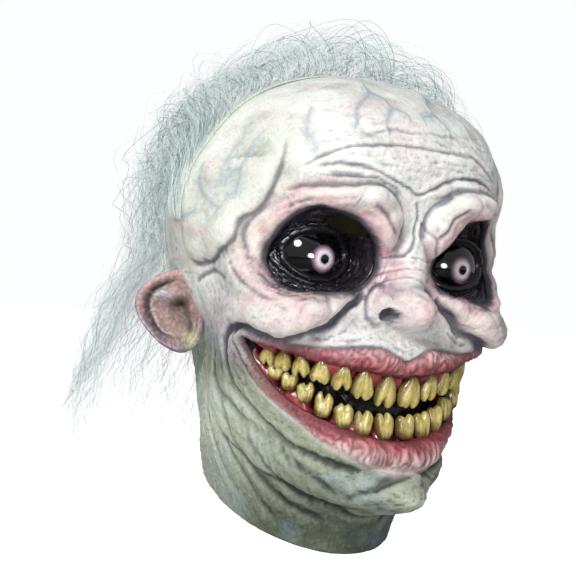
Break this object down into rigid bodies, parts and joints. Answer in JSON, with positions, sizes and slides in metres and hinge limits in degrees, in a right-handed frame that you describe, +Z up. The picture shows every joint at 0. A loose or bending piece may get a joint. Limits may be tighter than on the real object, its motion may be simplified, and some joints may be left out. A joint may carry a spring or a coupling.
{
  "type": "full head costume mask",
  "caption": "Full-head latex ghoul mask with a wide toothed grin, deep black eye sockets, glossy eyes, cast ears and a fall of thin grey hair.",
  "frame": {"origin": "on the cut face of the neck rim, at its front, in the middle of the wall and on the mask's middle plane", "axes": "+Z up through the crown, -Y out of the face, +X towards the mask's own left ear; the head's upright axis is 66.3 mm behind the origin, and the neck's cut slopes up to the nape"},
  "size_m": [0.24, 0.2943, 0.3391],
  "materials": {
    "skin": "matte painted latex with dry-brushed creases",
    "socket": "semi-gloss black",
    "eye": "high gloss with a pale iris",
    "gum": "semi-gloss",
    "tooth": "gloss, stained brown at the roots",
    "lining": "matte black",
    "hair": "thin grey synthetic strands",
    "band": "sewn tape"
  },
  "bodies": {
    "root": {"head_skin": "skin", "right_ear": "skin", "right_eye": "eye", "right_eye_cup": "socket", "left_ear": "skin", "left_eye": "eye", "left_eye_cup": "socket", "upper_gum": "gum", "lower_gum": "gum", "mouth_lining": "lining", "upper_tooth_right_1": "tooth", "upper_tooth_right_2": "tooth", "upper_tooth_right_3": "tooth", "upper_tooth_right_4": "tooth", "upper_tooth_right_5": "tooth", "upper_tooth_right_6": "tooth", "upper_tooth_right_7": "tooth", "upper_tooth_left_1": "tooth", "upper_tooth_left_2": "tooth", "upper_tooth_left_3": "tooth", "upper_tooth_left_4": "tooth", "upper_tooth_left_5": "tooth", "upper_tooth_left_6": "tooth", "upper_tooth_left_7": "tooth", "lower_tooth_right_1": "tooth", "lower_tooth_right_2": "tooth", "lower_tooth_right_3": "tooth", "lower_tooth_right_4": "tooth", "lower_tooth_right_5": "tooth", "lower_tooth_right_6": "tooth", "lower_tooth_right_7": "tooth", "lower_tooth_left_1": "tooth", "lower_tooth_left_2": "tooth", "lower_tooth_left_3": "tooth", "lower_tooth_left_4": "tooth", "lower_tooth_left_5": "tooth", "lower_tooth_left_6": "tooth", "lower_tooth_left_7": "tooth", "hair_weft_band": "band", "hair_right_side": "hair", "hair_right_back": "hair", "hair_right_nape": "hair", "hair_back": "hair", "hair_left_nape": "hair", "hair_left_back": "hair", "hair_left_side": "hair"}
  },
  "joints": []
}
